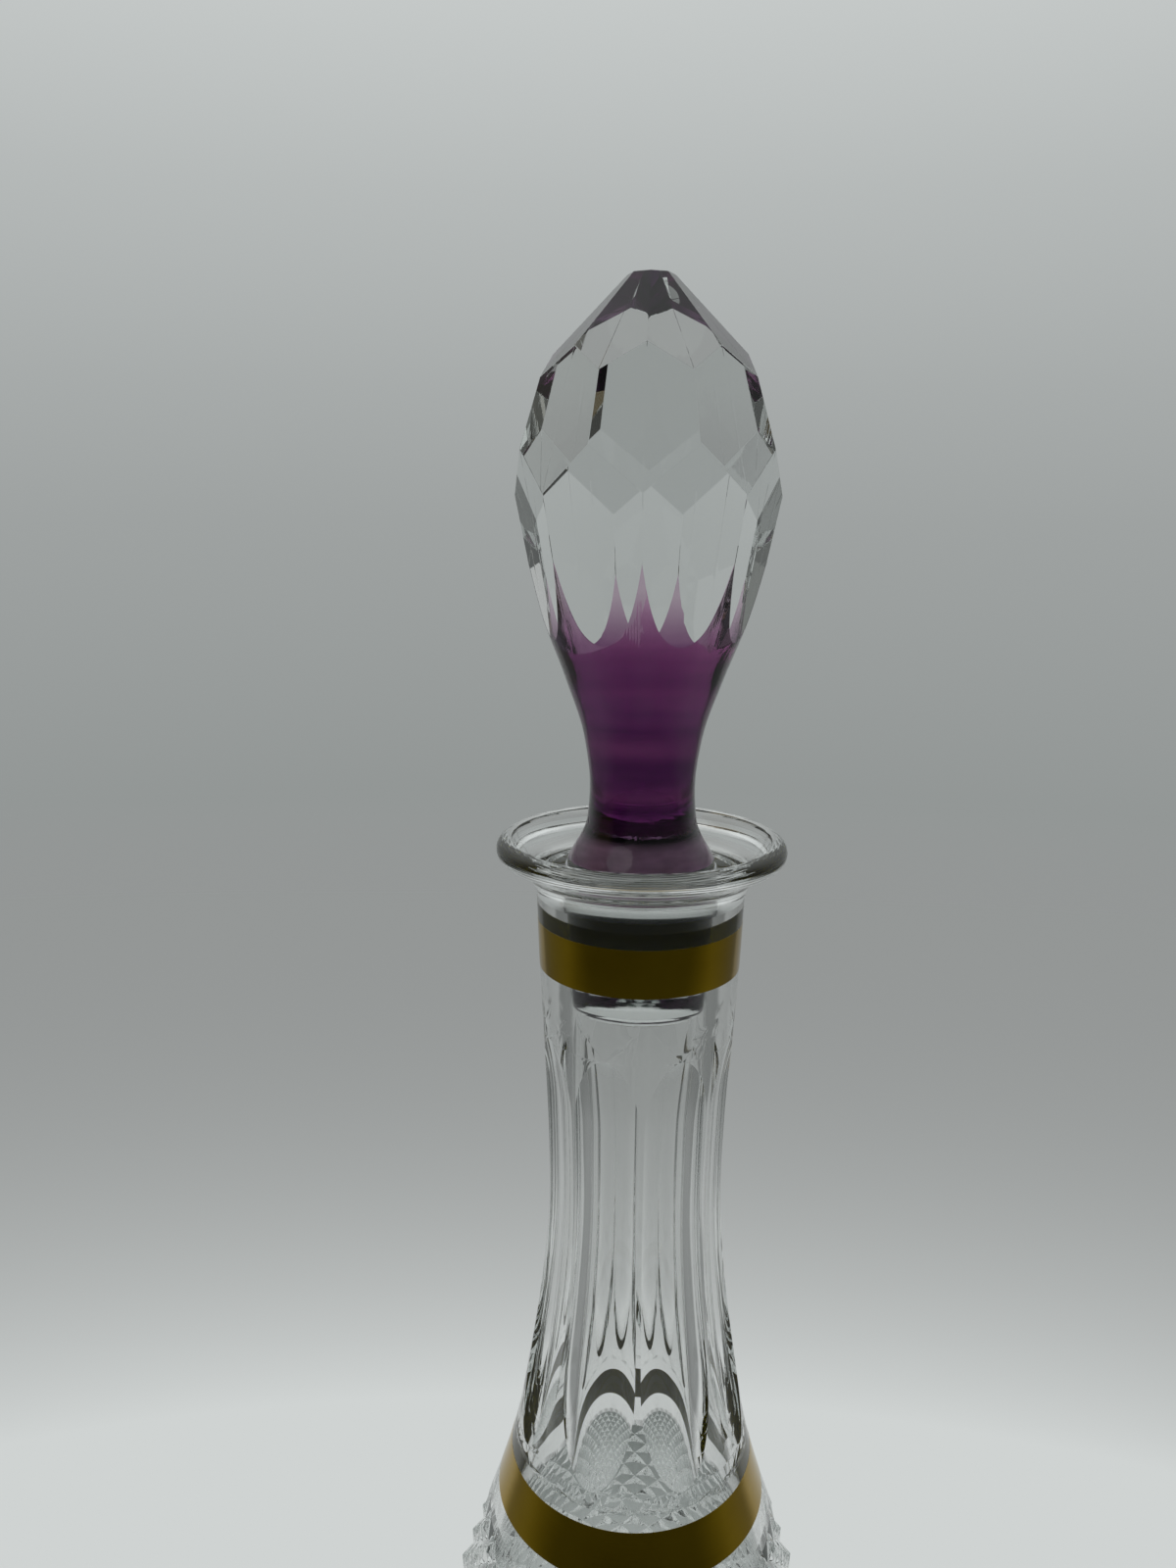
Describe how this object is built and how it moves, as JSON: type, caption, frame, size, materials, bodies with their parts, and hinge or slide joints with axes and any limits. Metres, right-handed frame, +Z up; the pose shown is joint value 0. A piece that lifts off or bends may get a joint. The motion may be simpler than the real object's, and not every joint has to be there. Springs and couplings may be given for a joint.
{
  "type": "decanter",
  "caption": "Tall cut crystal decanter with a fluted neck, gilt bands and a faceted ground-in stopper with an amethyst stem.",
  "frame": {"origin": "centre of the foot ring, on the surface that the decanter stands on", "axes": "+Z up along the decanter's axis, through the stopper; -Y towards the viewer; seen from above, a ridge between two neck flutes stands 3.5 degrees anticlockwise of +X, and the middle of a hexagonal knob facet 1.8 degrees clockwise of it"},
  "size_m": [0.1056, 0.1056, 0.3794],
  "materials": {
    "crystal": "polished clear lead crystal, ground inside the seat",
    "amethyst": "polished amethyst layer over clear crystal",
    "gilt": "burnished fired gold, slightly rubbed"
  },
  "bodies": {
    "bottle": {"bottle": "crystal", "collar_gilt_band": "gilt", "shoulder_gilt_band": "gilt"},
    "stopper": {"stopper_core": "crystal", "amethyst_flash": "amethyst"}
  },
  "joints": [
    {"name": "stopper_lift", "type": "slide", "parent": "bottle", "child": "stopper", "axis": [0, 0, 1], "range_m": [0, 0.08]}
  ]
}
